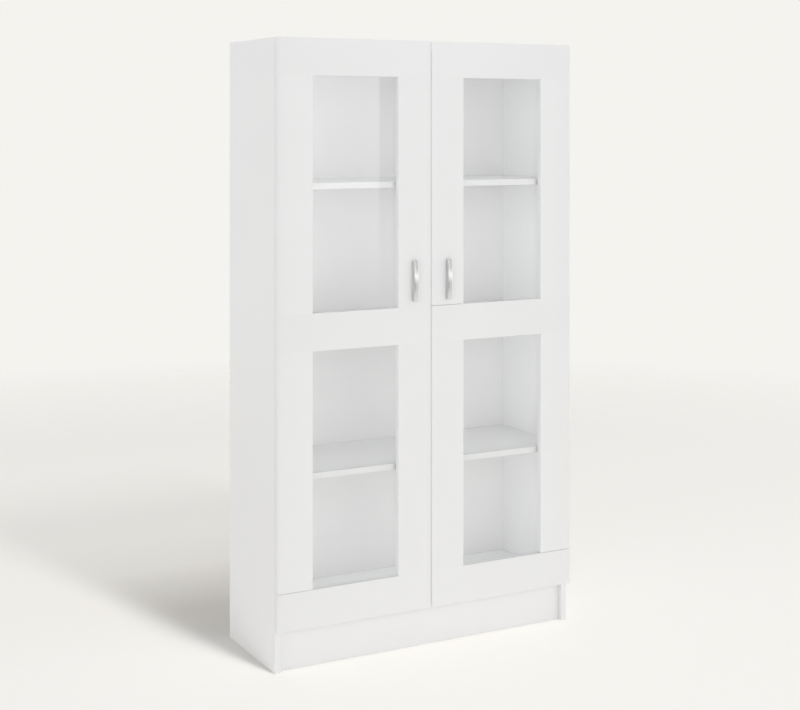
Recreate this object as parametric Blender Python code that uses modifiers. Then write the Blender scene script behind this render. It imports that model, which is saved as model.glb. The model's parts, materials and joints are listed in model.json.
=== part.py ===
"""White two-door display cabinet: a board carcass on a recessed plinth, framed and glazed doors
on concealed cup hinges, fixed and adjustable shelves, a thin back and bow handles.

Metres, +Z up, the front towards -Y. The origin is the middle of the footprint, on the floor.
Hinge parts are drawn in two lengths: u runs inwards from the outer face of a side panel, and
v runs outwards from the front edges of the carcass.
"""

import math

import bmesh
import bpy
from mathutils import Vector, geometry

# Overall sizes
WIDTH = 0.825
DEPTH = 0.305
HEIGHT = 1.500
BOARD = 0.015
BOARD_CHAMFER = 0.0004
SEAT_GAP = 0.0003
CUT_OVERRUN = 0.002
WELD = 0.00001
SMOOTH_DEGREES = 35

# Plinth and back
PLINTH_HEIGHT = 0.100
PLINTH_SETBACK = 0.014
BACK_THICKNESS = 0.003
BACK_CHAMFER = 0.0002
BACK_REBATE = 0.008
BACK_INSET = 0.001
BACK_PARTING = 0.0006

# Shelves and their pegs
SHELVES = 3
SHELF_SETBACK = 0.005
PEG_RADIUS = 0.0025
PEG_LENGTH = 0.009
PEG_INSET = 0.040
PEG_SIDES = 12

# Doors
DOOR_THICKNESS = 0.015
DOOR_STANDOFF = 0.002
DOORS_APART = 0.004
RAIL = 0.090
STILE = 0.090
PANE_THICKNESS = 0.003
PANE_LAP = 0.012
PANE_CHAMFER = 0.0004

# Bow handle, its screws and its place on the inner stile
HANDLE_LENGTH = 0.099
HANDLE_WIDTH = 0.013
HANDLE_PROJECTION = 0.016
HANDLE_END_PROJECTION = 0.0095
HANDLE_STRIP = 0.0042
HANDLE_FOOT = 0.010
HANDLE_CHAMFER = 0.0014
HANDLE_ABOVE_STILE_END = 0.0645
HANDLE_FROM_EDGE = 0.046
HANDLE_STEPS = 20
HANDLE_BEVEL_DEGREES = 50
SCREW_RADIUS = 0.0018
SCREW_BITE = 0.006
SCREW_HEAD_RADIUS = 0.0038
SCREW_HEAD_HEIGHT = 0.0022
SCREW_SIDES = 12

# Cup hinge: the places (u, v) of its pivots when the door is shut
HINGE_FROM_STILE_END = 0.045
OUTER_ARM_PIVOT = (0.0278, 0.0001)
OUTER_CUP_PIVOT = (0.0118, 0.0066)
INNER_ARM_PIVOT = (0.0346, 0.0067)
INNER_CUP_PIVOT = (0.0158, 0.0067)
PIVOT_PIN_RADIUS = 0.0011
PIVOT_HEAD_RADIUS = 0.0020
PIVOT_HEAD = 0.0007
PIVOT_SIDES = 12
HULL_SIDES = 12

# Hinge links, one on each side of the arm's nose
LINK_NEAR = 0.0015
LINK_THICKNESS = 0.0035
LINK_HALF_WIDTH = 0.0022
OUTER_LINK_BOW = 0.0074
INNER_LINK_BOW = 0.0034
LOOSE_EYE_PLAY = 0.0015
LOOSE_EYE_SHIFT = 0.0005
LOOSE_EYE_WALL = 0.0011
LINK_STEPS = 6

# Hinge cup and its flange
CUP_RADIUS = 0.0175
CUP_WALL = 0.0015
CUP_FROM_EDGE = 0.0225
CUP_DEPTH = 0.011
CUP_FLOOR = 0.001
CUP_RIM = 0.0012
CUP_SIDES = 28
FLANGE_OFFSET = 0.006
FLANGE_HALF_WIDTH = 0.007
FLANGE_REACH = 0.030
FLANGE_SCREW_REACH = 0.024
FLANGE_THICKNESS = 0.0008

# Hinge arm and its mounting plate
NOSE_THICKNESS = 0.002
NOSE_RADIUS = 0.0026
ARM_ROOT = (0.0218, -0.012)
ARM_ROOT_RADIUS = 0.003
ARM_FRONT = 0.0095
ARM_BACK = 0.064
ARM_WIDTH = 0.013
ARM_UNDERSIDE = 0.0040
ARM_TOP = 0.0105
ARM_SHEET = 0.0013
ARM_CHAMFER = 0.0005
RIB_WIDTH = 0.0108
RIB_FRONT = 0.022
RIB_BACK = 0.060
PLATE_FROM_FRONT = 0.037
PLATE_REACH = 0.024
PLATE_HALF_WIDTH = 0.006
PLATE_THICKNESS = 0.0016
PLATE_SCREW_REACH = 0.016
HINGE_SCREW_RADIUS = 0.0034
HINGE_SCREW_HEIGHT = 0.0014
ARM_SCREWS_FROM_FRONT = (0.026, 0.048)

# Places that follow from the sizes
DOOR_FRONT_Y = (SEAT_GAP + HANDLE_PROJECTION - DEPTH) / 2
BACK_Y = DOOR_FRONT_Y + DEPTH
DOOR_BACK_Y = DOOR_FRONT_Y + DOOR_THICKNESS
CARCASS_FRONT_Y = DOOR_BACK_Y + DOOR_STANDOFF
BACK_FRONT_Y = BACK_Y - BACK_THICKNESS
INNER_HALF = WIDTH / 2 - BOARD
DOOR_WIDTH = (WIDTH - DOORS_APART) / 2
WINDOW = (HEIGHT - PLINTH_HEIGHT - 3 * RAIL) / 2
LOWER_WINDOW_Z = PLINTH_HEIGHT + RAIL
MIDDLE_RAIL_Z = LOWER_WINDOW_Z + WINDOW
UPPER_WINDOW_Z = MIDDLE_RAIL_Z + RAIL
TOP_RAIL_Z = UPPER_WINDOW_Z + WINDOW
SHELF_CLEAR = (HEIGHT - PLINTH_HEIGHT - (SHELVES + 2) * BOARD) / (SHELVES + 1)
SHELF_PITCH = SHELF_CLEAR + BOARD
HANDLE_Z = UPPER_WINDOW_Z + HANDLE_ABOVE_STILE_END
HANDLE_HOLE_REACH = (HANDLE_LENGTH - HANDLE_FOOT) / 2
CUP_INNER_RADIUS = CUP_RADIUS - CUP_WALL
SIDES = {"left": -1, "right": 1}
HINGE_HEIGHTS = {
    "lower": LOWER_WINDOW_Z + HINGE_FROM_STILE_END,
    "middle": UPPER_WINDOW_Z + HINGE_FROM_STILE_END,
    "upper": TOP_RAIL_Z - HINGE_FROM_STILE_END,
}


def start_scene():
    for obj in list(bpy.data.objects):
        bpy.data.objects.remove(obj, do_unlink=True)
    made = {}
    for name in ("display_cabinet", "cutters"):
        made[name] = bpy.data.collections.new(name)
        bpy.context.scene.collection.children.link(made[name])
    made["cutters"].hide_render = True
    return made["display_cabinet"], made["cutters"]


def principled(name, colour, roughness, metallic=0.0, alpha=1.0):
    made = bpy.data.materials.new(name)
    made.use_nodes = True
    shader = made.node_tree.nodes["Principled BSDF"]
    shader.inputs["Base Color"].default_value = (*colour, 1.0)
    shader.inputs["Roughness"].default_value = roughness
    shader.inputs["Metallic"].default_value = metallic
    shader.inputs["Alpha"].default_value = alpha
    made.diffuse_color = (*colour, alpha)
    return made


def place(obj, location, parent=None, collection=None):
    """Link the object and put its origin at a place in the world, whatever its parent."""
    (collection or PARTS).objects.link(obj)
    obj.parent = parent
    obj.location = Vector(location) - (parent.location if parent else Vector())
    return obj


def empty(name, location):
    made = bpy.data.objects.new(name, None)
    made.empty_display_size = BOARD
    return place(made, location)


def finish_mesh(mesh, surface=None, smooth=False):
    if surface:
        mesh.materials.clear()
        mesh.materials.append(surface)
    if smooth:
        mesh.shade_smooth()
        mesh.set_sharp_from_angle(angle=math.radians(SMOOTH_DEGREES))
    return mesh


def box_mesh(name, size):
    shape = bmesh.new()
    bmesh.ops.create_cube(shape, size=1.0)
    bmesh.ops.scale(shape, vec=size, verts=shape.verts)
    mesh = bpy.data.meshes.new(name)
    shape.to_mesh(mesh)
    shape.free()
    return mesh


def add_bevel(obj, width, segments=1):
    bevel = obj.modifiers.new("edges", "BEVEL")
    bevel.width = width
    bevel.segments = segments
    bevel.limit_method = "ANGLE"
    bevel.use_clamp_overlap = True
    return bevel


def add_boolean(obj, other, operation):
    step = obj.modifiers.new(operation.lower(), "BOOLEAN")
    step.operation = operation
    step.object = other
    step.solver = "EXACT"
    return step


def board(name, low, high, surface, parent=None, chamfer=BOARD_CHAMFER):
    """A flat board between two opposite corners in the world."""
    low, high = Vector(low), Vector(high)
    obj = bpy.data.objects.new(name, finish_mesh(box_mesh(name, high - low), surface))
    place(obj, (low + high) / 2, parent)
    add_bevel(obj, chamfer)
    return obj


def box_tool(name, low, high):
    low, high = Vector(low), Vector(high)
    obj = bpy.data.objects.new(name, box_mesh(name, high - low))
    obj.display_type = "WIRE"
    obj.hide_render = True
    return place(obj, (low + high) / 2, None, TOOLS)


def rod_mesh(name, radius, length, axis, sides):
    """A closed cylinder about its own middle, along X, Y or Z."""
    shape = bmesh.new()
    bmesh.ops.create_cone(
        shape, cap_ends=True, segments=sides, radius1=radius, radius2=radius, depth=length
    )
    turns = {"X": (0, math.pi / 2, 0), "Y": (math.pi / 2, 0, 0), "Z": (0, 0, 0)}
    mesh = bpy.data.meshes.new(name)
    shape.to_mesh(mesh)
    shape.free()
    turn = bpy.data.objects.new(name, mesh)
    turn.rotation_euler = turns[axis]
    mesh.transform(turn.rotation_euler.to_matrix().to_4x4())
    bpy.data.objects.remove(turn)
    return mesh


def rod_tool(name, radius, start, length, axis, sides, parent=None):
    """A round tool that starts at a place and runs along an axis, backwards if negative."""
    middle = Vector(start)
    middle["XYZ".index(axis)] += length / 2
    obj = bpy.data.objects.new(name, rod_mesh(name, radius, abs(length), axis, sides))
    obj.display_type = "WIRE"
    obj.hide_render = True
    return place(obj, middle, parent, TOOLS)


def outline_mesh(name, outlines, thickness, plane):
    """A flat outline, with any holes, given a thickness across its plane."""
    curve = bpy.data.curves.new(name, "CURVE")
    curve.dimensions = "2D"
    curve.fill_mode = "BOTH"
    curve.extrude = thickness / 2
    for outline in outlines:
        spline = curve.splines.new("POLY")
        spline.points.add(len(outline) - 1)
        for point, (first, second) in zip(spline.points, outline):
            point.co = (first, second, 0, 1)
        spline.use_cyclic_u = True
    drawn = bpy.data.objects.new(name, curve)
    PARTS.objects.link(drawn)
    graph = bpy.context.evaluated_depsgraph_get()
    mesh = bpy.data.meshes.new_from_object(drawn.evaluated_get(graph))
    bpy.data.objects.remove(drawn)
    bpy.data.curves.remove(curve)
    shape = bmesh.new()
    shape.from_mesh(mesh)
    bmesh.ops.remove_doubles(shape, verts=shape.verts, dist=WELD)
    if plane == "YZ":
        for vert in shape.verts:
            vert.co = (vert.co.z, vert.co.x, vert.co.y)
    if plane == "XZ":
        for vert in shape.verts:
            vert.co = (vert.co.x, -vert.co.z, vert.co.y)
    bmesh.ops.recalc_face_normals(shape, faces=shape.faces)
    shape.to_mesh(mesh)
    shape.free()
    mesh.materials.clear()
    return mesh


def evaluated_mesh(obj, name):
    """The object's mesh with its modifiers in it, and the tools it used cleared away."""
    graph = bpy.context.evaluated_depsgraph_get()
    mesh = bpy.data.meshes.new_from_object(obj.evaluated_get(graph))
    mesh.name = name
    tools = [step.object for step in obj.modifiers if step.type == "BOOLEAN"]
    for used in [obj, *tools]:
        bpy.data.objects.remove(used)
    return mesh


def circle(centre, radius, sides=PIVOT_SIDES):
    turns = [2 * math.pi * step / sides for step in range(sides)]
    return [(centre[0] + radius * math.cos(a), centre[1] + radius * math.sin(a)) for a in turns]


def hull_outline(circles):
    """The outline stretched round several circles, each a centre and a radius."""
    points = [Vector(p) for centre, radius in circles for p in circle(centre, radius, HULL_SIDES)]
    return [tuple(points[index]) for index in geometry.convex_hull_2d(points)]


def bowed_link_outline(start, end, bow, start_radius, end_radius):
    """A link's outline: round eyes at both ends and a body bowed to one side."""
    start, end = Vector(start), Vector(end)
    along = (end - start).normalized()
    across = Vector((-along.y, along.x))
    if across.y < 0:
        across = -across
    turn = 1 if across.cross(along) < 0 else -1

    def eye(centre, radius, first):
        angles = [first - turn * math.pi * step / LINK_STEPS for step in range(LINK_STEPS + 1)]
        return [tuple(centre + radius * Vector((math.cos(a), math.sin(a)))) for a in angles]

    def body(sign):
        made = []
        for step in range(1, LINK_STEPS):
            share = step / LINK_STEPS
            middle = start + (end - start) * share + across * bow * 4 * share * (1 - share)
            slope = (end - start) + across * bow * 4 * (1 - 2 * share)
            side = Vector((-slope.y, slope.x)).normalized() * turn
            radius = start_radius + (LINK_HALF_WIDTH - start_radius) * min(1, 4 * share)
            if share > 0.5:
                radius = end_radius + (LINK_HALF_WIDTH - end_radius) * min(1, 4 * (1 - share))
            made.append(tuple(middle + sign * radius * side))
        return made

    outward = math.atan2(across.y, across.x)
    far_eye = eye(end, end_radius, outward)
    near_eye = eye(start, start_radius, outward + math.pi)
    return body(1) + far_eye + body(-1)[::-1] + near_eye


def world_x(side, u):
    return side * (WIDTH / 2 - u)


def world_y(v):
    return CARCASS_FRONT_Y - v


def hinge_xy(side, point):
    return world_x(side, point[0]), world_y(point[1])


def x_span(side, first_u, second_u):
    return sorted((world_x(side, first_u), world_x(side, second_u)))


def side_panel(name, side):
    x_low, x_high = x_span(side, 0, BOARD)
    panel = board(
        f"{name}_side_panel", (x_low, CARCASS_FRONT_Y, 0), (x_high, BACK_Y, HEIGHT), WHITE
    )
    rebate = x_span(side, BOARD - BACK_REBATE, BOARD + CUT_OVERRUN)
    cutter = box_tool(
        f"{name}_rebate",
        (rebate[0], BACK_FRONT_Y - SEAT_GAP, PLINTH_HEIGHT),
        (rebate[1], BACK_Y + CUT_OVERRUN, HEIGHT + CUT_OVERRUN),
    )
    add_boolean(panel, cutter, "DIFFERENCE")
    for shelf in (1, SHELVES):
        z = PLINTH_HEIGHT + shelf * SHELF_PITCH - SEAT_GAP - PEG_RADIUS
        for row, y in enumerate((CARCASS_FRONT_Y + PEG_INSET, BACK_FRONT_Y - PEG_INSET)):
            root = (world_x(side, BOARD - CUT_OVERRUN), y, z)
            length = -side * (PEG_LENGTH + CUT_OVERRUN)
            peg = rod_tool(f"{name}_peg_{shelf}_{row}", PEG_RADIUS, root, length, "X", PEG_SIDES)
            add_boolean(panel, peg, "UNION")
    return panel


def carcass():
    for name, side in SIDES.items():
        side_panel(name, side)
    half = INNER_HALF - SEAT_GAP
    rear = BACK_FRONT_Y - SEAT_GAP
    for name, z in (("bottom_panel", PLINTH_HEIGHT), ("top_panel", HEIGHT - BOARD)):
        board(name, (-half, CARCASS_FRONT_Y, z), (half, rear, z + BOARD), WHITE)
    plinth_y = CARCASS_FRONT_Y + PLINTH_SETBACK
    board(
        "plinth_board",
        (-half, plinth_y, 0),
        (half, plinth_y + BOARD, PLINTH_HEIGHT - SEAT_GAP),
        WHITE,
    )
    for index, name in enumerate(("lower_shelf", "middle_shelf", "upper_shelf"), start=1):
        z = PLINTH_HEIGHT + index * SHELF_PITCH
        board(name, (-half, CARCASS_FRONT_Y + SHELF_SETBACK, z), (half, rear, z + BOARD), WHITE)


def back():
    half = INNER_HALF + BACK_REBATE - SEAT_GAP
    parting = PLINTH_HEIGHT + (SHELVES + 1) / 2 * SHELF_PITCH + BOARD / 2
    spans = {
        "back_panel_lower": (PLINTH_HEIGHT + BACK_INSET, parting - BACK_PARTING / 2),
        "back_panel_upper": (parting + BACK_PARTING / 2, HEIGHT - BACK_INSET),
    }
    for name, (low, high) in spans.items():
        board(name, (-half, BACK_FRONT_Y, low), (half, BACK_Y, high), BACK, None, BACK_CHAMFER)


def cup_bore(name, side, z, axis):
    start = (world_x(side, CUP_FROM_EDGE), DOOR_BACK_Y + CUT_OVERRUN, z)
    depth = CUP_DEPTH + CUP_FLOOR + SEAT_GAP + CUT_OVERRUN
    return rod_tool(name, CUP_RADIUS + SEAT_GAP, start, -depth, "Y", CUP_SIDES, axis)


def door_boards(name, side, axis):
    gap = SEAT_GAP / 2
    rails = {
        "bottom_rail": (PLINTH_HEIGHT, LOWER_WINDOW_Z),
        "middle_rail": (MIDDLE_RAIL_Z, UPPER_WINDOW_Z),
        "top_rail": (TOP_RAIL_Z, HEIGHT),
    }
    x_low, x_high = x_span(side, 0, DOOR_WIDTH)
    for part, (low, high) in rails.items():
        ends = (x_low, DOOR_FRONT_Y, low), (x_high, DOOR_BACK_Y, high)
        board(f"{name}_door_{part}", *ends, WHITE, axis)
    stiles = {"outer": (0, STILE), "inner": (DOOR_WIDTH - STILE, DOOR_WIDTH)}
    windows = {"lower": LOWER_WINDOW_Z, "upper": UPPER_WINDOW_Z}
    made = {}
    for level, z in windows.items():
        for part, span in stiles.items():
            x_low, x_high = x_span(side, *span)
            low = (x_low, DOOR_FRONT_Y, z + 2 * gap)
            high = (x_high, DOOR_BACK_Y, z + WINDOW - 2 * gap)
            title = f"{name}_door_{level}_{part}_stile"
            made[level, part] = board(title, low, high, WHITE, axis)
    for place_name, z in HINGE_HEIGHTS.items():
        level = "lower" if place_name == "lower" else "upper"
        cutter = cup_bore(f"{name}_{place_name}_cup_bore", side, z, axis)
        add_boolean(made[level, "outer"], cutter, "DIFFERENCE")
    for reach in (-HANDLE_HOLE_REACH, HANDLE_HOLE_REACH):
        start = (handle_x(side), DOOR_FRONT_Y - CUT_OVERRUN, HANDLE_Z + reach)
        length = DOOR_THICKNESS + 2 * CUT_OVERRUN
        radius = SCREW_RADIUS + SEAT_GAP
        hole = rod_tool(f"{name}_screw_hole", radius, start, length, "Y", SCREW_SIDES, axis)
        add_boolean(made["upper", "inner"], hole, "DIFFERENCE")


def panes(name, side, axis):
    x_low, x_high = x_span(side, STILE - PANE_LAP, DOOR_WIDTH - STILE + PANE_LAP)
    front = DOOR_BACK_Y + SEAT_GAP
    for level, z in (("lower", LOWER_WINDOW_Z), ("upper", UPPER_WINDOW_Z)):
        low = (x_low, front, z - PANE_LAP)
        high = (x_high, front + PANE_THICKNESS, z + WINDOW + PANE_LAP)
        board(f"{name}_{level}_pane", low, high, GLASS, axis, PANE_CHAMFER)


def handle_x(side):
    return side * (DOORS_APART / 2 + HANDLE_FROM_EDGE)


def arc_points(half_length, end_height, middle_height):
    """Points of a shallow arc over a chord, from one end to the other."""
    rise = middle_height - end_height
    radius = (half_length**2 + rise**2) / (2 * rise)
    reach = math.asin(half_length / radius)
    turns = [reach * (2 * step / HANDLE_STEPS - 1) for step in range(HANDLE_STEPS + 1)]
    centre = middle_height - radius
    return [(radius * math.sin(a), centre + radius * math.cos(a)) for a in turns]


def handle_mesh():
    """The bow seen from the side, given its width: a front arc, two feet and the finger gap."""
    half = HANDLE_LENGTH / 2
    front = arc_points(half, HANDLE_END_PROJECTION, HANDLE_PROJECTION)
    under = arc_points(half - HANDLE_FOOT, 0, HANDLE_PROJECTION - HANDLE_STRIP)
    foot = (half, 0)
    outline = [(-half, 0), *front, foot, *under[::-1]]
    bow = outline_mesh("bow", [[(-height, z) for z, height in outline]], HANDLE_WIDTH, "YZ")
    obj = bpy.data.objects.new("bow", bow)
    place(obj, (0, 0, 0))
    bevel = add_bevel(obj, HANDLE_CHAMFER, 2)
    bevel.angle_limit = math.radians(HANDLE_BEVEL_DEGREES)
    for reach in (-HANDLE_HOLE_REACH, HANDLE_HOLE_REACH):
        depth = SCREW_BITE + SEAT_GAP + CUT_OVERRUN
        start = (0, CUT_OVERRUN, reach)
        hole = rod_tool("handle_bore", SCREW_RADIUS + SEAT_GAP, start, -depth, "Y", SCREW_SIDES)
        add_boolean(obj, hole, "DIFFERENCE")
    return finish_mesh(evaluated_mesh(obj, "bow_handle"), CHROME, smooth=True)


def screw_mesh():
    """A pan head on the back of the stile, and a shank that runs through it into the foot."""
    head = SCREW_HEAD_RADIUS
    rise = SCREW_HEAD_HEIGHT
    reach = DOOR_THICKNESS + SCREW_BITE
    profile = [
        (0, rise),
        (head - rise / 2, rise),
        (head, rise / 2),
        (head, SEAT_GAP),
        (SCREW_RADIUS, SEAT_GAP),
        (SCREW_RADIUS, -reach),
        (0, -reach),
    ]
    return finish_mesh(turned_mesh("handle_screw", profile, SCREW_SIDES), STEEL, smooth=True)


def turned_mesh(name, profile, sides):
    """A profile of (radius, height) points, top to bottom, turned about the Y axis."""
    mesh = bpy.data.meshes.new(name)
    points = [(radius, 0, height) for radius, height in profile]
    mesh.from_pydata(points, [(i, i + 1) for i in range(len(points) - 1)], [])
    obj = bpy.data.objects.new(name, mesh)
    place(obj, (0, 0, 0))
    turn = obj.modifiers.new("turn", "SCREW")
    turn.axis = "Z"
    turn.steps = sides
    turn.render_steps = sides
    turn.use_merge_vertices = True
    turn.merge_threshold = WELD
    made = evaluated_mesh(obj, name)
    lie = bpy.data.objects.new(name, made)
    lie.rotation_euler = (-math.pi / 2, 0, 0)
    made.transform(lie.rotation_euler.to_matrix().to_4x4())
    bpy.data.objects.remove(lie)
    return made


def handle(name, side, axis, bow, screw):
    at = (handle_x(side), DOOR_FRONT_Y - SEAT_GAP, HANDLE_Z)
    place(bpy.data.objects.new(f"{name}_handle", bow), at, axis)
    for level, reach in (("lower", -HANDLE_HOLE_REACH), ("upper", HANDLE_HOLE_REACH)):
        fastener = bpy.data.objects.new(f"{name}_handle_{level}_screw", screw)
        place(fastener, (handle_x(side), DOOR_BACK_Y, HANDLE_Z + reach), axis)


def in_hinge(point, side, origin):
    """A (u, v) place as an (x, y) place from the hinge's origin, mirrored for the right side."""
    return -side * (point[0] - origin[0]), -(point[1] - origin[1])


def link_mesh(name, side, arm_pivot, cup_pivot, bow, loose):
    """A link drawn flat about its arm pivot. The loose one's cup eye has play for its path."""
    hole = PIVOT_PIN_RADIUS + SEAT_GAP
    cup_hole = hole + (LOOSE_EYE_PLAY - SEAT_GAP if loose else 0)
    cup_eye = cup_hole + LOOSE_EYE_WALL if loose else LINK_HALF_WIDTH
    eye_centre = (cup_pivot[0], cup_pivot[1] + (LOOSE_EYE_SHIFT if loose else 0))
    outline = bowed_link_outline(arm_pivot, eye_centre, bow, LINK_HALF_WIDTH, cup_eye)
    rings = [outline, circle(arm_pivot, hole), circle(eye_centre, cup_hole)]
    flat = [[in_hinge(point, side, arm_pivot) for point in ring] for ring in rings]
    return finish_mesh(outline_mesh(name, flat, LINK_THICKNESS, "XY"), STEEL, smooth=True)


def cup_profile():
    """The cup's section from the middle of its inner floor, over the rim, to the outer floor."""
    floor = -CUP_DEPTH - CUP_FLOOR
    edge = CUP_WALL / 3
    return [
        (0, -CUP_DEPTH),
        (CUP_INNER_RADIUS, -CUP_DEPTH),
        (CUP_INNER_RADIUS, CUP_RIM - edge),
        (CUP_INNER_RADIUS + edge, CUP_RIM),
        (CUP_RADIUS, CUP_RIM),
        (CUP_RADIUS, floor + edge),
        (CUP_RADIUS - edge, floor),
        (0, floor),
    ]


def cup_mesh(side):
    """A turned cup with screw lugs on a flange and two short pivot pins from its wall."""
    shell = bpy.data.objects.new("cup", turned_mesh("cup", cup_profile(), CUP_SIDES))
    place(shell, (0, 0, 0))
    across = -side * FLANGE_OFFSET
    reach = FLANGE_REACH - FLANGE_HALF_WIDTH
    ends = [((across, sign * reach), FLANGE_HALF_WIDTH) for sign in (-1, 1)]
    holes = [circle((across, sign * FLANGE_SCREW_REACH), SCREW_RADIUS) for sign in (-1, 1)]
    lugs = outline_mesh("lugs", [hull_outline(ends), *holes], FLANGE_THICKNESS, "XZ")
    flange = bpy.data.objects.new("flange", lugs)
    seat = (0, SEAT_GAP + FLANGE_THICKNESS / 2, 0)
    place(flange, seat, None, TOOLS)
    mouth = CUP_INNER_RADIUS + CUP_WALL / 2
    start = (0, CUP_RIM + CUT_OVERRUN, 0)
    clear = rod_tool("cup_mouth", mouth, start, -2 * CUT_OVERRUN - CUP_RIM, "Y", CUP_SIDES)
    add_boolean(flange, clear, "DIFFERENCE")
    cut = evaluated_mesh(flange, "flange")
    flange = place(bpy.data.objects.new("flange", cut), seat, None, TOOLS)
    add_boolean(shell, flange, "UNION")
    for pivot, end in ((OUTER_CUP_PIVOT, -1), (INNER_CUP_PIVOT, 1)):
        from_middle = pivot[0] - CUP_FROM_EDGE
        wall = math.sqrt((CUP_RADIUS - CUP_WALL / 2) ** 2 - from_middle**2)
        near = LINK_NEAR - SEAT_GAP / 3
        start = (-side * from_middle, -(pivot[1] - DOOR_STANDOFF), end * near)
        pin = rod_tool("cup_pin", PIVOT_PIN_RADIUS, start, end * (wall - near), "Z", PIVOT_SIDES)
        add_boolean(shell, pin, "UNION")
    return finish_mesh(evaluated_mesh(shell, "hinge_cup"), STEEL, smooth=True)


def arm_mesh(side):
    """A channel arm on a winged mounting plate, with a nose that carries both arm pivots.

    It is drawn about the point where the front edge of the side panel meets its inner face."""
    corner = (BOARD, 0)
    nose_circles = [
        (OUTER_ARM_PIVOT, NOSE_RADIUS),
        (INNER_ARM_PIVOT, NOSE_RADIUS),
        (ARM_ROOT, ARM_ROOT_RADIUS),
    ]
    nose = [in_hinge(point, side, corner) for point in hull_outline(nose_circles)]
    base = bpy.data.objects.new("nose", outline_mesh("nose", [nose], NOSE_THICKNESS, "XY"))
    place(base, (0, 0, 0))
    add_boolean(base, arm_channel(side), "UNION")
    x_low, x_high = sorted((-side * SEAT_GAP, -side * (ARM_TOP - ARM_SHEET / 2)))
    half = RIB_WIDTH / 2
    rib = box_tool("rib", (x_low, RIB_FRONT, -half), (x_high, RIB_BACK, half))
    add_boolean(base, rib, "UNION")
    add_boolean(base, arm_wings(side), "UNION")
    for reach in (-PLATE_SCREW_REACH, PLATE_SCREW_REACH):
        start = (-side * PLATE_THICKNESS / 2, PLATE_FROM_FRONT, reach)
        length = -side * (PLATE_THICKNESS / 2 + HINGE_SCREW_HEIGHT)
        head = rod_tool("plate_screw", HINGE_SCREW_RADIUS, start, length, "X", SCREW_SIDES)
        add_boolean(base, head, "UNION")
    for from_front in ARM_SCREWS_FROM_FRONT:
        start = (-side * (ARM_TOP - ARM_SHEET / 2), from_front, 0)
        length = -side * (ARM_SHEET / 2 + HINGE_SCREW_HEIGHT)
        head = rod_tool("arm_screw", HINGE_SCREW_RADIUS, start, length, "X", SCREW_SIDES)
        add_boolean(base, head, "UNION")
    reach = LINK_NEAR + LINK_THICKNESS + SEAT_GAP
    for pivot, end in ((OUTER_ARM_PIVOT, -1), (INNER_ARM_PIVOT, 1)):
        x, y = in_hinge(pivot, side, corner)
        length = end * (reach + PIVOT_HEAD / 2)
        pin = rod_tool("arm_pin", PIVOT_PIN_RADIUS, (x, y, 0), length, "Z", PIVOT_SIDES)
        add_boolean(base, pin, "UNION")
        start = (x, y, end * reach)
        length = end * PIVOT_HEAD
        head = rod_tool("arm_pin_head", PIVOT_HEAD_RADIUS, start, length, "Z", SCREW_SIDES)
        add_boolean(base, head, "UNION")
    return finish_mesh(evaluated_mesh(base, "hinge_arm"), STEEL, smooth=True)


def arm_channel(side):
    """The folded sheet arm, open towards the side panel."""
    half = ARM_WIDTH / 2
    x_low, x_high = sorted((-side * ARM_UNDERSIDE, -side * ARM_TOP))
    outer = box_tool("channel", (x_low, ARM_FRONT, -half), (x_high, ARM_BACK, half))
    add_bevel(outer, ARM_CHAMFER)
    half -= ARM_SHEET
    ends = sorted((-side * (ARM_UNDERSIDE - CUT_OVERRUN), -side * (ARM_TOP - ARM_SHEET)))
    low = (ends[0], ARM_FRONT + ARM_SHEET, -half)
    high = (ends[1], ARM_BACK + CUT_OVERRUN, half)
    inner = box_tool("channel_inside", low, high)
    add_boolean(outer, inner, "DIFFERENCE")
    mesh = evaluated_mesh(outer, "channel")
    middle = Vector(((x_low + x_high) / 2, (ARM_FRONT + ARM_BACK) / 2, 0))
    return place(bpy.data.objects.new("channel", mesh), middle, None, TOOLS)


def arm_wings(side):
    reach = PLATE_REACH - PLATE_HALF_WIDTH
    ends = [((PLATE_FROM_FRONT, sign * reach), PLATE_HALF_WIDTH) for sign in (-1, 1)]
    mesh = outline_mesh("wings", [hull_outline(ends)], PLATE_THICKNESS, "YZ")
    middle = (-side * (SEAT_GAP + PLATE_THICKNESS / 2), 0, 0)
    return place(bpy.data.objects.new("wings", mesh), middle, None, TOOLS)


def hinges(name, side, door_axis):
    outer_axis = empty(f"{name}_outer_links_axis", (*hinge_xy(side, OUTER_ARM_PIVOT), 0))
    inner_axis = empty(f"{name}_inner_links_axis", (*hinge_xy(side, INNER_ARM_PIVOT), 0))
    arm = arm_mesh(side)
    cup = cup_mesh(side)
    outer = link_mesh("outer_link", side, OUTER_ARM_PIVOT, OUTER_CUP_PIVOT, OUTER_LINK_BOW, False)
    inner = link_mesh("inner_link", side, INNER_ARM_PIVOT, INNER_CUP_PIVOT, INNER_LINK_BOW, True)
    link_middle = LINK_NEAR + LINK_THICKNESS / 2
    for level, z in HINGE_HEIGHTS.items():
        title = f"{name}_{level}_hinge"
        arm_place = (world_x(side, BOARD), CARCASS_FRONT_Y, z)
        place(bpy.data.objects.new(f"{title}_arm", arm), arm_place)
        cup_place = (world_x(side, CUP_FROM_EDGE), DOOR_BACK_Y, z)
        place(bpy.data.objects.new(f"{title}_cup", cup), cup_place, door_axis)
        outer_place = (*hinge_xy(side, OUTER_ARM_PIVOT), z - link_middle)
        place(bpy.data.objects.new(f"{title}_outer_link", outer), outer_place, outer_axis)
        inner_place = (*hinge_xy(side, INNER_ARM_PIVOT), z + link_middle)
        place(bpy.data.objects.new(f"{title}_inner_link", inner), inner_place, inner_axis)


def doors():
    bow = handle_mesh()
    screw = screw_mesh()
    for name, side in SIDES.items():
        axis = empty(f"{name}_door_axis", (*hinge_xy(side, OUTER_CUP_PIVOT), 0))
        door_boards(name, side, axis)
        panes(name, side, axis)
        handle(name, side, axis, bow, screw)
        hinges(name, side, axis)


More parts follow.
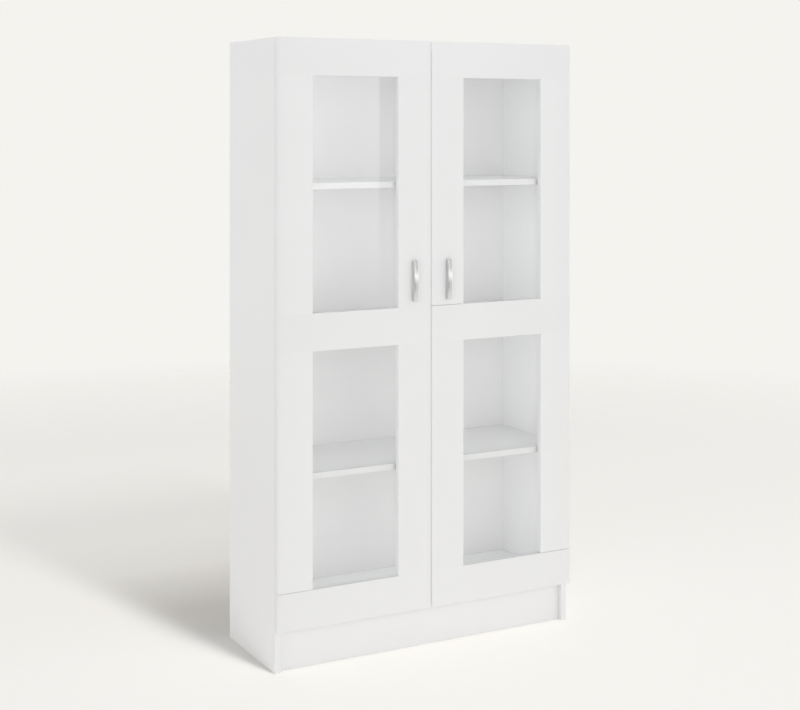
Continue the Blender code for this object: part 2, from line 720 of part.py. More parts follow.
PARTS, TOOLS = start_scene()
WHITE = principled("white_board", (0.80, 0.80, 0.79), 0.45)
BACK = principled("back_board", (0.78, 0.78, 0.77), 0.60)
GLASS = principled("clear_glass", (0.93, 0.96, 0.95), 0.03, alpha=0.25)
CHROME = principled("bright_chrome", (0.70, 0.70, 0.69), 0.18, metallic=1.0)
STEEL = principled("nickelled_steel", (0.60, 0.60, 0.59), 0.30, metallic=1.0)
carcass()
back()
doors()
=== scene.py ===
"""The looks of a white two-door display cabinet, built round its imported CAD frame.

Lengths are in metres. X runs to the right, Y to the back and Z up, and the doors face -Y.
"""

import json
import math

import bmesh
import bpy
from mathutils import Matrix, Vector


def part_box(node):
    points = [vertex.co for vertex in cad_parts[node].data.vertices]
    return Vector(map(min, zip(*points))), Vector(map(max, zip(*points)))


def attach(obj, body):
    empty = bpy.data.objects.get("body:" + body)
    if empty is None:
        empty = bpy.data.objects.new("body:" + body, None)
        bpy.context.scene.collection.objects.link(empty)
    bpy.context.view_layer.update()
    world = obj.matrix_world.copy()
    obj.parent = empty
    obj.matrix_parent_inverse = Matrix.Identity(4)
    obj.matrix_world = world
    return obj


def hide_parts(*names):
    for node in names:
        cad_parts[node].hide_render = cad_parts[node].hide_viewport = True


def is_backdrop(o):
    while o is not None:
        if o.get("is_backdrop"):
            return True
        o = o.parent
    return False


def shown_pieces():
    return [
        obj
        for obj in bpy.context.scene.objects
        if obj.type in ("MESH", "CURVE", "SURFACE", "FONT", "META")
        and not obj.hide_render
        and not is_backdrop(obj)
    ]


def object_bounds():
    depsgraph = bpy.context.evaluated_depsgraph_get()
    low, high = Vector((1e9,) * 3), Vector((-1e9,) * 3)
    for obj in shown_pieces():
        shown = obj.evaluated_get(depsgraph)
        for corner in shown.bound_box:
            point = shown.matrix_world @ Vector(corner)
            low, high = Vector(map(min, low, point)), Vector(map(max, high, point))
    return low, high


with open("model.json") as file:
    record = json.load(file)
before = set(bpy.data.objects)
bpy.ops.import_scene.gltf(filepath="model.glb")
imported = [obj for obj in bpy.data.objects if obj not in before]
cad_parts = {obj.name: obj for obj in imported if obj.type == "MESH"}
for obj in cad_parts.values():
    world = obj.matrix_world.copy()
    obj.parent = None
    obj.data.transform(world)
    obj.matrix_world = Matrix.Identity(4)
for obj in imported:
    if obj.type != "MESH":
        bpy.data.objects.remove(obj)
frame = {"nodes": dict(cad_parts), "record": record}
CAD_LOW, CAD_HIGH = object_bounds()

# The nodes inside the carcass, from the floor up
LEVELS = ("bottom_panel", "lower_shelf", "middle_shelf", "upper_shelf", "top_panel")
BACKS = ("back_panel_lower", "back_panel_upper")
INSIDE_NODES = (*LEVELS, "left_side_panel", "right_side_panel", *BACKS)

# The camera: where it stands, which way it faces and the height of the horizon in the picture
CAMERA_PLACE = (-1.8054, -3.3611, 1.2937)
CAMERA_TURN_DEGREES = 28.0956
CAMERA_CLIP_START = 0.05
PICTURE_WIDTH_PX = 800
PICTURE_HEIGHT_PX = 710
FOCAL_PX = 1491.4
HORIZON_PX = 124.5
SENSOR_WIDTH_MM = 36

# Shapes in general
SAME_PLACE = 0.00001
SMOOTH_DEGREES = 35
ROUND_PROFILE = 0.5
CUT_OVERRUN = 0.002

# Door boards: a tight joint is drawn closer than the frame's gap, an open one wider
SEAT_GAP = 0.0003
TIGHT_GAP = 0.00002
OPEN_SEAM = 0.0006
OPEN_BELOW = (
    "left_door_lower_outer_stile",
    "right_door_lower_outer_stile",
    "right_door_upper_inner_stile",
)
PANE_BEDDING = 0.00026
EDGE_ROUND = 0.0005
EDGE_ROUND_STEPS = 3
CUP_BORE_RADIUS = 0.0178
CUP_BORE_CLEARANCE = 0.0003
CUP_BORE_DEPTH = 0.0125
BORE_STEPS = 48

# Bow handles: heights off the door, then the strip's thickness and the foot's length
BOW_HEIGHT = 0.0125
BOW_END_HEIGHT = 0.009
BOW_STRIP = 0.0055
BOW_FOOT = 0.010
BOW_STEPS = 48
BOW_ROUND = 0.0025
BOW_ROUND_STEPS = 8
BOW_SMOOTH_DEGREES = 2

# Pane retainers. The reach is their height over the pane's front, the lip their hold on the pane,
# and the inset and the last value place them along its upright edges
RETAINER_LENGTH = 0.018
RETAINER_WIDTH = 0.011
RETAINER_REACH = 0.0054
RETAINER_LIP = 0.0035
RETAINER_ROUND = 0.0008
RETAINER_ROUND_STEPS = 2
RETAINER_INSET = 0.055
RETAINER_ABOVE_MIDDLE = 0.040

# Retainer screws
SCREW_FROM_PANE = 0.0035
SCREW_HEAD_RADIUS = 0.0028
SCREW_HEAD_TAPER = 0.72
SCREW_HEAD_HEIGHT = 0.0012
SCREW_STEPS = 24
SCREW_HEAD = (SCREW_HEAD_RADIUS, SCREW_HEAD_TAPER, SCREW_HEAD_HEIGHT, SCREW_STEPS)
CROSS_LENGTH = 0.0028
CROSS_WIDTH = 0.0007
CROSS_DEPTH = 0.0006

# Nails in the back
NAIL_RADIUS = 0.0022
NAIL_TAPER = 0.8
NAIL_HEIGHT = 0.0004
NAIL_STEPS = 16
NAIL_HEAD = (NAIL_RADIUS, NAIL_TAPER, NAIL_HEIGHT, NAIL_STEPS)
NAIL_SPACING = 0.115
NAIL_FROM_SIDE = 0.004
NAIL_FROM_SEAM = 0.004
NAIL_FROM_END = 0.008
NAIL_COLUMN_INSET = 0.0145

# Noise in the finishes: its usual detail, and the part of its range that roughness follows
NOISE_DETAIL = 3.0
NOISE_ROUGHNESS = 0.5
NOISE_LOW = 0.3
NOISE_HIGH = 0.7

# Melamine. Here and below, a pair holds the two ends of a range and a bump its strength and height
MELAMINE_COLOURS = ((0.827, 0.830, 0.834), (0.844, 0.847, 0.852))
MELAMINE_CLOUD_SCALE = 5.0
MELAMINE_PEARL_SCALE = 900.0
MELAMINE_PEARL_DETAIL = 2.0
MELAMINE_ROUGHNESS = (0.40, 0.50)
MELAMINE_SPECULAR = 0.35
MELAMINE_BUMP = (0.10, 0.0002)

# Fibreboard
FIBRE_SCALE = 260.0
FIBRE_DETAIL = 6.0
FIBRE_ROUGHNESS = 0.65
FIBRE_BARE_COLOURS = ((0.60, 0.56, 0.50), (0.74, 0.70, 0.64))
FIBRE_LACQUER_COLOUR = (0.81, 0.81, 0.808)
FIBRE_REAR_FROM = 0.4
FIBRE_REAR_TO = 0.6
FIBRE_SURFACE_ROUGHNESS = (0.50, 0.85)
FIBRE_SPECULAR = 0.30
FIBRE_BUMP = (0.15, 0.0003)

# Glass
GLASS_TINTS = ((0.988, 0.990, 0.988), (0.991, 0.993, 0.991))
GLASS_CLOUD_SCALE = 6.0
GLASS_CLOUD_DETAIL = 1.0
GLASS_IOR = 1.45
GLASS_EDGE_COLOUR = (0.52, 0.68, 0.60)
GLASS_EDGE_ROUGHNESS = 0.15
GLASS_EDGE_TRANSMISSION = 0.5
GLASS_FACE_FROM = 0.05
GLASS_FACE_TO = 0.15

# Metal: the two colours, the roughness and the scale of the grain
METAL_CLOUD_SCALE = 40.0
METAL_GRAIN_DETAIL = 4.0
METAL_BUMP = (0.04, 0.0001)
CHROME_LOOK = (((0.70, 0.70, 0.70), (0.76, 0.76, 0.76)), (0.02, 0.05), 300.0)
NICKEL_LOOK = (((0.52, 0.51, 0.49), (0.62, 0.61, 0.59)), (0.22, 0.34), 500.0)

# Plastic
PLASTIC_COLOUR = (0.80, 0.80, 0.79)
PLASTIC_DARKER = 0.94
PLASTIC_CLOUD_SCALE = 120.0
PLASTIC_ROUGHNESS = (0.30, 0.42)

# Floor and backdrop
BACKDROP = (0.905, 0.896, 0.863)
FLOOR_COLOURS = ((0.888, 0.870, 0.838), (0.896, 0.879, 0.846))
FLOOR_GRAIN_SCALE = 30.0
FLOOR_SIZE = 40.0
FLOOR_PLAIN_FROM = 2.6
FLOOR_PLAIN_TO = 4.5

# The sky: its share of a peak at each height, from straight down at 0 to straight up at 1
SKY_PEAK = 2.0
SKY_STOPS = (
    (0.00, 0.36),
    (0.49, 0.36),
    (0.52, 0.60),
    (0.57, 0.60),
    (0.62, 0.54),
    (0.70, 0.62),
    (0.80, 0.40),
    (0.90, 0.06),
    (1.00, 0.06),
)
REFLECTED_PEAK = 1.4
REFLECTED_STOPS = ((0.00, 1.0), (0.64, 1.0), (0.68, 0.54), (1.00, 0.36))

# Parts of the room that only reflections show. Turns run from straight ahead of the doors to the
# right, and lifts from the horizon up
SOFT_DEGREES = 4.0
DIM_LEAST = 0.05
DIM_SHARE = 0.44
DIM_LEFT_DEGREES = -100.0
DIM_RIGHT_DEGREES = 60.0
DIM_CENTRE_DEGREES = -2.5
DIM_INNER_DEGREES = 0.3
DIM_OUTER_DEGREES = 5.5
DARK_SHARE = 0.85
DARK_LEFT_DEGREES = -45.0
DARK_RIGHT_DEGREES = 2.0
DARK_HEIGHT_DEGREES = 35.0
CARD_STRENGTH = 2.5
CARD_LEFT_DEGREES = 12.0
CARD_RIGHT_DEGREES = 27.3
CARD_EDGE_DEGREES = 0.05
CARD_LOW_DEGREES = -7.5
CARD_FULL_DEGREES = 3.0
CARD_TOP_DEGREES = 25.0

# Lamps that light the floor alone and cast the cabinet's shade: name, degrees up and watts
STRIPS = (("low", 47, 700), ("middle", 65, 340), ("high", 75, 1000))
STRIP_TURN_DEGREES = 10.8
STRIP_DISTANCE = 20.0
STRIP_SIZE = (1.65, 4.4)

# Lamps that light the cabinet
TOP_PLACE = (0.0, 0.0, 4.0)
TOP_SIZE = (2.0, 2.0)
TOP_WATTS = 42
FRONT_PLACE = (0.6, -4.0, 1.2)
FRONT_AIM = (0.0, 0.0, 1.0)
FRONT_SIZE = (3.0, 2.4)
FRONT_WATTS = 12
SHELF_PLACE = (0.0, -3.5, 2.3)
SHELF_AIM = (0.0, 0.0, 0.8)
SHELF_SIZE = (1.0, 1.0)
SHELF_WATTS = 12
EDGE_DISTANCE = 4.0
EDGE_SIZE = (0.3, 2.4)
EDGE_WATTS = 24

# Lamps within the carcass
INSIDE_CLEARANCE = 0.003
INSIDE_LIFT = 0.035
INSIDE_FRONT_WATTS = (0.385, 0.352, 0.352, 0.368)
INSIDE_WALL_WATTS = 0.92
INSIDE_CORNER_WATTS = 0.26
INSIDE_BASE_WATTS = 0.55


def new_material(name):
    """An empty node material, with its output's surface socket."""
    made = bpy.data.materials.new(name)
    made.use_nodes = True
    nodes, links = made.node_tree.nodes, made.node_tree.links
    nodes.clear()
    surface = nodes.new("ShaderNodeOutputMaterial").inputs["Surface"]
    return made, nodes, links, surface


def principled_material(name):
    """A node material that is one principled shader."""
    made, nodes, links, surface = new_material(name)
    shader = nodes.new("ShaderNodeBsdfPrincipled")
    links.new(shader.outputs["BSDF"], surface)
    return made, nodes, links, shader.inputs


def object_noise(nodes, links, scale, detail=NOISE_DETAIL, roughness=NOISE_ROUGHNESS):
    """Noise in the object's own metres."""
    place = nodes.new("ShaderNodeTexCoord")
    noise = nodes.new("ShaderNodeTexNoise")
    noise.inputs["Scale"].default_value = scale
    noise.inputs["Detail"].default_value = detail
    noise.inputs["Roughness"].default_value = roughness
    links.new(place.outputs["Object"], noise.inputs["Vector"])
    return noise.outputs["Fac"]


def ramp(nodes, links, source, low, high, low_out, high_out):
    """Carry a value from one range to another, held at both ends."""
    node = nodes.new("ShaderNodeMapRange")
    node.inputs["From Min"].default_value = low
    node.inputs["From Max"].default_value = high
    node.inputs["To Min"].default_value = low_out
    node.inputs["To Max"].default_value = high_out
    links.new(source, node.inputs["Value"])
    return node.outputs["Result"]


def math_node(nodes, links, operation, *sources):
    """A maths node on its sources, any of which may be a plain number."""
    node = nodes.new("ShaderNodeMath")
    node.operation = operation
    for place, source in enumerate(sources):
        if isinstance(source, float):
            node.inputs[place].default_value = source
        else:
            links.new(source, node.inputs[place])
    return node.outputs["Value"]


def between(nodes, links, source, low, high, soft, level=1.0):
    """A level that holds between two values, falls to nothing outside and fades at both ends."""
    rise = ramp(nodes, links, source, low - soft, low + soft, 0.0, level)
    fall = ramp(nodes, links, source, high - soft, high + soft, 1.0, 0.0)
    return math_node(nodes, links, "MULTIPLY", rise, fall)


def blend_colours(nodes, links, factor, first, second):
    """One colour where the factor is 0 and another where it is 1."""
    node = nodes.new("ShaderNodeMix")
    node.data_type = "RGBA"
    node.inputs["A"].default_value = (*first, 1.0)
    node.inputs["B"].default_value = (*second, 1.0)
    links.new(factor, node.inputs["Factor"])
    return node.outputs["Result"]


def mix_shaders(nodes, links, factor, first, second):
    """One shader where the factor is 0 and another where it is 1."""
    node = nodes.new("ShaderNodeMixShader")
    for place, source in enumerate((factor, first, second)):
        links.new(source, node.inputs[place])
    return node.outputs["Shader"]


def bump(nodes, links, height, strength, distance):
    """A normal that follows a height."""
    node = nodes.new("ShaderNodeBump")
    node.inputs["Strength"].default_value = strength
    node.inputs["Distance"].default_value = distance
    links.new(height, node.inputs["Height"])
    return node.outputs["Normal"]


def facing_rear(nodes, links):
    """How far the surface looks along the object's own +Y, from -1 to 1."""
    geometry = nodes.new("ShaderNodeNewGeometry")
    local = nodes.new("ShaderNodeVectorTransform")
    local.vector_type = "NORMAL"
    local.convert_from = "WORLD"
    local.convert_to = "OBJECT"
    links.new(geometry.outputs["True Normal"], local.inputs["Vector"])
    split = nodes.new("ShaderNodeSeparateXYZ")
    links.new(local.outputs["Vector"], split.inputs["Vector"])
    return split.outputs["Y"]


def melamine():
    """White melamine facing: a fine pearl texture, faint cloudiness and a satin sheen."""
    made, nodes, links, shader = principled_material("white_melamine")
    cloud = object_noise(nodes, links, MELAMINE_CLOUD_SCALE)
    links.new(blend_colours(nodes, links, cloud, *MELAMINE_COLOURS), shader["Base Color"])
    pearl = object_noise(nodes, links, MELAMINE_PEARL_SCALE, detail=MELAMINE_PEARL_DETAIL)
    satin = ramp(nodes, links, pearl, NOISE_LOW, NOISE_HIGH, *MELAMINE_ROUGHNESS)
    links.new(satin, shader["Roughness"])
    shader["Specular IOR Level"].default_value = MELAMINE_SPECULAR
    links.new(bump(nodes, links, pearl, *MELAMINE_BUMP), shader["Normal"])
    return made


def fibreboard():
    """Thin board, lacquered white towards the room and pale bare fibre towards the wall."""
    made, nodes, links, shader = principled_material("back_fibreboard")
    fibre = object_noise(nodes, links, FIBRE_SCALE, FIBRE_DETAIL, FIBRE_ROUGHNESS)
    rear = ramp(nodes, links, facing_rear(nodes, links), FIBRE_REAR_FROM, FIBRE_REAR_TO, 0.0, 1.0)
    choose = nodes.new("ShaderNodeMix")
    choose.data_type = "RGBA"
    choose.inputs["A"].default_value = (*FIBRE_LACQUER_COLOUR, 1.0)
    links.new(blend_colours(nodes, links, fibre, *FIBRE_BARE_COLOURS), choose.inputs["B"])
    links.new(rear, choose.inputs["Factor"])
    links.new(choose.outputs["Result"], shader["Base Color"])
    links.new(ramp(nodes, links, rear, 0.0, 1.0, *FIBRE_SURFACE_ROUGHNESS), shader["Roughness"])
    shader["Specular IOR Level"].default_value = FIBRE_SPECULAR
    height = math_node(nodes, links, "MULTIPLY", fibre, rear)
    links.new(bump(nodes, links, height, *FIBRE_BUMP), shader["Normal"])
    return made


def glass():
    """Clear float glass that lets light straight through, with faintly green polished edges."""
    made, nodes, links, surface = new_material("clear_float_glass")
    clear = nodes.new("ShaderNodeBsdfTransparent")
    cloud = object_noise(nodes, links, GLASS_CLOUD_SCALE, detail=GLASS_CLOUD_DETAIL)
    links.new(blend_colours(nodes, links, cloud, *GLASS_TINTS), clear.inputs["Color"])
    shine = nodes.new("ShaderNodeBsdfGlossy")
    shine.inputs["Roughness"].default_value = 0.0
    fresnel = nodes.new("ShaderNodeFresnel")
    inner_side = nodes.new("ShaderNodeNewGeometry").outputs["Backfacing"]
    both_sides = ramp(nodes, links, inner_side, 0.0, 1.0, GLASS_IOR, 1 / GLASS_IOR)
    links.new(both_sides, fresnel.inputs["IOR"])
    face = mix_shaders(
        nodes, links, fresnel.outputs["Fac"], clear.outputs["BSDF"], shine.outputs["BSDF"]
    )
    edge = nodes.new("ShaderNodeBsdfPrincipled")
    edge.inputs["Base Color"].default_value = (*GLASS_EDGE_COLOUR, 1.0)
    edge.inputs["Roughness"].default_value = GLASS_EDGE_ROUGHNESS
    edge.inputs["Transmission Weight"].default_value = GLASS_EDGE_TRANSMISSION
    across = math_node(nodes, links, "ABSOLUTE", facing_rear(nodes, links))
    on_face = ramp(nodes, links, across, GLASS_FACE_FROM, GLASS_FACE_TO, 0.0, 1.0)
    links.new(mix_shaders(nodes, links, on_face, edge.outputs["BSDF"], face), surface)
    return made


def metal(name, colours, roughness, grain_scale):
    """Bare or plated metal whose polish varies a little over its surface."""
    made, nodes, links, shader = principled_material(name)
    shader["Metallic"].default_value = 1.0
    cloud = object_noise(nodes, links, METAL_CLOUD_SCALE)
    links.new(blend_colours(nodes, links, cloud, *colours), shader["Base Color"])
    grain = object_noise(nodes, links, grain_scale, detail=METAL_GRAIN_DETAIL)
    links.new(ramp(nodes, links, grain, NOISE_LOW, NOISE_HIGH, *roughness), shader["Roughness"])
    links.new(bump(nodes, links, grain, *METAL_BUMP), shader["Normal"])
    return made


def plastic():
    """White moulded plastic with a soft, slightly uneven gloss."""
    made, nodes, links, shader = principled_material("white_moulding")
    darker = tuple(PLASTIC_DARKER * part for part in PLASTIC_COLOUR)
    cloud = object_noise(nodes, links, PLASTIC_CLOUD_SCALE)
    links.new(blend_colours(nodes, links, cloud, darker, PLASTIC_COLOUR), shader["Base Color"])
    gloss = ramp(nodes, links, cloud, NOISE_LOW, NOISE_HIGH, *PLASTIC_ROUGHNESS)
    links.new(gloss, shader["Roughness"])
    return made


def floor_finish():
    """A pale matt floor that fades into the plain backdrop away from the cabinet."""
    made, nodes, links, surface = new_material("pale_floor")
    near = nodes.new("ShaderNodeBsdfDiffuse")
    grain = object_noise(nodes, links, FLOOR_GRAIN_SCALE)
    links.new(blend_colours(nodes, links, grain, *FLOOR_COLOURS), near.inputs["Color"])
    far = nodes.new("ShaderNodeBsdfTransparent")
    place = nodes.new("ShaderNodeTexCoord")
    length = nodes.new("ShaderNodeVectorMath")
    length.operation = "LENGTH"
    links.new(place.outputs["Object"], length.inputs[0])
    fade = ramp(nodes, links, length.outputs["Value"], FLOOR_PLAIN_FROM, FLOOR_PLAIN_TO, 0.0, 1.0)
    links.new(mix_shaders(nodes, links, fade, near.outputs["BSDF"], far.outputs["BSDF"]), surface)
    return made


MELAMINE = melamine()
CHROME = metal("bright_chrome_plate", *CHROME_LOOK)
NICKEL = metal("nickel_plate", *NICKEL_LOOK)
PLASTIC = plastic()
FINISHES = {
    "white_board": MELAMINE,
    "back_board": fibreboard(),
    "clear_glass": glass(),
    "bright_chrome": CHROME,
    "nickelled_steel": NICKEL,
}


def dress(obj, material):
    """Give every material slot of an object, CAD node or piece, the same finish."""
    if not obj.material_slots:
        obj.data.materials.append(material)
    for slot in obj.material_slots:
        slot.material = material


def piece_from(name, shape, material, smooth_degrees=SMOOTH_DEGREES):
    """Turn a bmesh into a shown object."""
    mesh = bpy.data.meshes.new(name)
    bmesh.ops.recalc_face_normals(shape, faces=shape.faces)
    shape.to_mesh(mesh)
    shape.free()
    mesh.shade_smooth()
    mesh.set_sharp_from_angle(angle=math.radians(smooth_degrees))
    obj = bpy.data.objects.new(name, mesh)
    bpy.context.scene.collection.objects.link(obj)
    dress(obj, material)
    return obj


def add_box(shape, low, high):
    """Add a box between two corners."""
    low, high = Vector(low), Vector(high)
    made = bmesh.ops.create_cube(shape, size=1.0)["verts"]
    bmesh.ops.scale(shape, vec=high - low, verts=made)
    bmesh.ops.translate(shape, vec=(low + high) / 2, verts=made)


def add_rear_stud(shape, centre, radius, taper, height, steps):
    """A low round head that stands on its centre and narrows towards +Y."""
    stand = Vector(centre) + Vector((0, height / 2, 0))
    bmesh.ops.create_cone(
        shape,
        cap_ends=True,
        segments=steps,
        radius1=radius,
        radius2=taper * radius,
        depth=height,
        matrix=Matrix.Translation(stand) @ Matrix.Rotation(-math.pi / 2, 4, "X"),
    )


def round_edges(shape, edges, radius, steps, clamp=False):
    """Round some edges of a shape. Clamped, the rounding stops where it would meet itself."""
    bmesh.ops.bevel(
        shape,
        geom=edges,
        offset=radius,
        segments=steps,
        profile=ROUND_PROFILE,
        affect="EDGES",
        clamp_overlap=clamp,
    )


def cut(obj, tools):
    """Take the tools' shapes out of an object for good."""
    for tool in tools:
        step = obj.modifiers.new("cut", "BOOLEAN")
        step.operation = "DIFFERENCE"
        step.solver = "EXACT"
        step.object = tool
    graph = bpy.context.evaluated_depsgraph_get()
    mesh = bpy.data.meshes.new_from_object(obj.evaluated_get(graph))
    obj.modifiers.clear()
    obj.data = mesh
    for tool in tools:
        bpy.data.objects.remove(tool)


def bore_tool(start, radius, depth):
    """A rod for cutting a bore that runs backwards along Y from its start."""
    shape = bmesh.new()
    turn = Matrix.Rotation(math.pi / 2, 4, "X")
    move = Matrix.Translation(Vector(start) + Vector((0, depth / 2, 0)))
    bmesh.ops.create_cone(
        shape,
        cap_ends=True,
        segments=BORE_STEPS,
        radius1=radius,
        radius2=radius,
        depth=depth,
        matrix=move @ turn,
    )
    return piece_from("bore", shape, MELAMINE)


def at_stile_end(edge, low, high):
    """Whether a stile's edge lies on one of its two ends, which meet the rails."""
    middle_z = (edge.verts[0].co.z + edge.verts[1].co.z) / 2
    return min(abs(middle_z - low.z), abs(middle_z - high.z)) < SAME_PLACE


def against_stile(node, edge, high):
    """Whether a rail's edge runs along the stiles' ends."""
    first, second = (vert.co for vert in edge.verts)
    level = abs(first.z - second.z) < SAME_PLACE and abs(first.y - second.y) < SAME_PLACE
    if not level:
        return False
    at_top = abs(first.z - high.z) < SAME_PLACE
    if "bottom_rail" in node:
        return at_top
    if "top_rail" in node:
        return not at_top
    return True


def cup_centre_x(side):
    """A cup's flange reaches further in than out, so its middle comes from its outer edge."""
    low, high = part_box(f"{side}_lower_hinge_cup")
    radius = CUP_BORE_RADIUS - CUP_BORE_CLEARANCE
    return low.x + radius if side == "left" else high.x - radius


def cup_bores(node, low, high):
    """The tools for the bores that the hinge cups need in a stile."""
    if "outer_stile" not in node:
        return []
    side = node.split("_")[0]
    found = []
    for level in ("lower", "middle", "upper"):
        cup_low, cup_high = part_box(f"{side}_{level}_hinge_cup")
        centre_z = (cup_low.z + cup_high.z) / 2
        if low.z < centre_z < high.z:
            start = (cup_centre_x(side), high.y - CUP_BORE_DEPTH, centre_z)
            found.append(bore_tool(start, CUP_BORE_RADIUS, CUP_BORE_DEPTH + CUT_OVERRUN))
    return found


def door_board(node, body):
    """One board of a door. Its edges are rounded, but for those that meet another board."""
    low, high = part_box(node)
    is_stile = node.endswith("stile")
    if is_stile:
        low.z += OPEN_SEAM if node in OPEN_BELOW else TIGHT_GAP - SEAT_GAP
        high.z -= TIGHT_GAP - SEAT_GAP
    high.y += PANE_BEDDING
    shape = bmesh.new()
    add_box(shape, low, high)
    if is_stile:
        free = [edge for edge in shape.edges if not at_stile_end(edge, low, high)]
    else:
        free = [edge for edge in shape.edges if not against_stile(node, edge, high)]
    round_edges(shape, free, EDGE_ROUND, EDGE_ROUND_STEPS)
    obj = piece_from(f"{node}_board", shape, MELAMINE)
    bores = cup_bores(node, low, high)
    if bores:
        cut(obj, bores)
    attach(obj, body)
    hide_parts(node)
    return obj


def arc(half_length, end_height, middle_height):
    """Points of a shallow arc over a chord, from one end to the other."""
    rise = middle_height - end_height
    radius = (half_length**2 + rise**2) / (2 * rise)
    reach = math.asin(half_length / radius)
    turns = [reach * (2 * step / BOW_STEPS - 1) for step in range(BOW_STEPS + 1)]
    centre = middle_height - radius
    return [(radius * math.sin(turn), centre + radius * math.cos(turn)) for turn in turns]


def bow_handle(side):
    """The bow seen from the side, given its width, with its two outer long edges rounded."""
    node = f"{side}_handle"
    low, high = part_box(node)
    half = (high.z - low.z) / 2
    middle_z = (high.z + low.z) / 2
    front = arc(half, BOW_END_HEIGHT, BOW_HEIGHT)
    under = arc(half - BOW_FOOT, 0, BOW_HEIGHT - BOW_STRIP)
    outline = [(-half, 0), *front, (half, 0), *under[::-1]]
    shape = bmesh.new()
    ring = [shape.verts.new((low.x, high.y - height, middle_z + z)) for z, height in outline]
    face = shape.faces.new(ring)
    grown = bmesh.ops.extrude_face_region(shape, geom=[face])["geom"]
    moved = [part for part in grown if isinstance(part, bmesh.types.BMVert)]
    bmesh.ops.translate(shape, vec=(high.x - low.x, 0, 0), verts=moved)
    bmesh.ops.recalc_face_normals(shape, faces=shape.faces)
    long_edges = []
    for edge in shape.edges:
        along_x = abs(edge.verts[0].co.x - edge.verts[1].co.x) > SAME_PLACE
        outermost = all(vert.co.y < high.y - BOW_END_HEIGHT + SAME_PLACE for vert in edge.verts)
        if outermost and not along_x:
            long_edges.append(edge)
    round_edges(shape, long_edges, BOW_ROUND, BOW_ROUND_STEPS, clamp=True)
    obj = piece_from(f"{side}_bow_handle", shape, CHROME, BOW_SMOOTH_DEGREES)
    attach(obj, f"{side}_door")
    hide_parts(node)


def cut_crosses(obj, places):
    """Cut a driver's cross into each screw head whose top has its middle at a place."""
    bars = []
    upright = (CROSS_WIDTH / 2, CROSS_LENGTH / 2)
    for half_x, half_z in (upright[::-1], upright):
        shape = bmesh.new()
        for x, y, z in places:
            bar_low = (x - half_x, y - CROSS_DEPTH, z - half_z)
            add_box(shape, bar_low, (x + half_x, y + CUT_OVERRUN, z + half_z))
        bars.append(piece_from("cross", shape, NICKEL))
    cut(obj, bars)


def retainer_places(low, high):
    """Points on a pane's edges, each with the direction that leads out of the pane there."""
    clear_of_shelf = (low.z + high.z) / 2 + RETAINER_ABOVE_MIDDLE
    places = []
    for z in (low.z + RETAINER_INSET, clear_of_shelf, high.z - RETAINER_INSET):
        places.append(((low.x, z), (-1, 0)))
        places.append(((high.x, z), (1, 0)))
    middle_x = (low.x + high.x) / 2
    places.append(((middle_x, low.z), (0, -1)))
    places.append(((middle_x, high.z), (0, 1)))
    return places


def retainers(side, level):
    """Small moulded clips along the edges of a pane, each held by one screw."""
    low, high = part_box(f"{side}_{level}_pane")
    back = low.y + RETAINER_REACH
    from_edge = RETAINER_WIDTH / 2 - RETAINER_LIP
    clips = bmesh.new()
    screws = bmesh.new()
    head_tops = []
    for (x, z), (out_x, out_z) in retainer_places(low, high):
        centre_x = x + out_x * from_edge
        centre_z = z + out_z * from_edge
        half_x = (RETAINER_WIDTH if out_x else RETAINER_LENGTH) / 2
        half_z = (RETAINER_WIDTH if out_z else RETAINER_LENGTH) / 2
        clip_low = (centre_x - half_x, high.y, centre_z - half_z)
        add_box(clips, clip_low, (centre_x + half_x, back, centre_z + half_z))
        screw_x = x + out_x * SCREW_FROM_PANE
        screw_z = z + out_z * SCREW_FROM_PANE
        add_rear_stud(screws, (screw_x, back, screw_z), *SCREW_HEAD)
        head_tops.append((screw_x, back + SCREW_HEAD_HEIGHT, screw_z))
    round_edges(clips, clips.edges[:], RETAINER_ROUND, RETAINER_ROUND_STEPS)
    body = f"{side}_door"
    made = piece_from(f"{side}_{level}_pane_retainers", clips, PLASTIC)
    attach(made, body)
    made = piece_from(f"{side}_{level}_retainer_screws", screws, NICKEL)
    cut_crosses(made, head_tops)
    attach(made, body)


def door(side):
    """Dress one door, and return its boards."""
    body = f"{side}_door"
    boards = []
    for row in frame["record"]["subparts"]:
        if row["node"].startswith(f"{body}_"):
            boards.append(door_board(row["node"], body))
    bow_handle(side)
    for level in ("lower", "upper"):
        retainers(side, level)
    return boards


def back_nails():
    """Flat nail heads along the edges of both halves of the back."""
    shape = bmesh.new()
    for node in BACKS:
        low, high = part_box(node)
        count = round((high.z - low.z) / NAIL_SPACING)
        for step in range(count + 1):
            run = high.z - low.z - 2 * NAIL_COLUMN_INSET
            z = low.z + NAIL_COLUMN_INSET + step * run / count
            for x in (low.x + NAIL_FROM_SIDE, high.x - NAIL_FROM_SIDE):
                add_rear_stud(shape, (x, high.y, z), *NAIL_HEAD)
        if node.endswith("lower"):
            end, seam = low.z + NAIL_FROM_END, high.z - NAIL_FROM_SEAM
        else:
            end, seam = high.z - NAIL_FROM_END, low.z + NAIL_FROM_SEAM
        count = round((high.x - low.x) / NAIL_SPACING)
        for step in range(1, count):
            x = low.x + step * (high.x - low.x) / count
            for z in (end, seam):
                add_rear_stud(shape, (x, high.y, z), *NAIL_HEAD)
    made = piece_from("back_nails", shape, NICKEL)
    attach(made, "cabinet")


def floor():
    """A pale floor round the cabinet that runs out into the plain backdrop."""
    shape = bmesh.new()
    bmesh.ops.create_grid(shape, x_segments=1, y_segments=1, size=FLOOR_SIZE / 2)
    obj = piece_from("floor", shape, floor_finish())
    obj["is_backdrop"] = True
    return obj


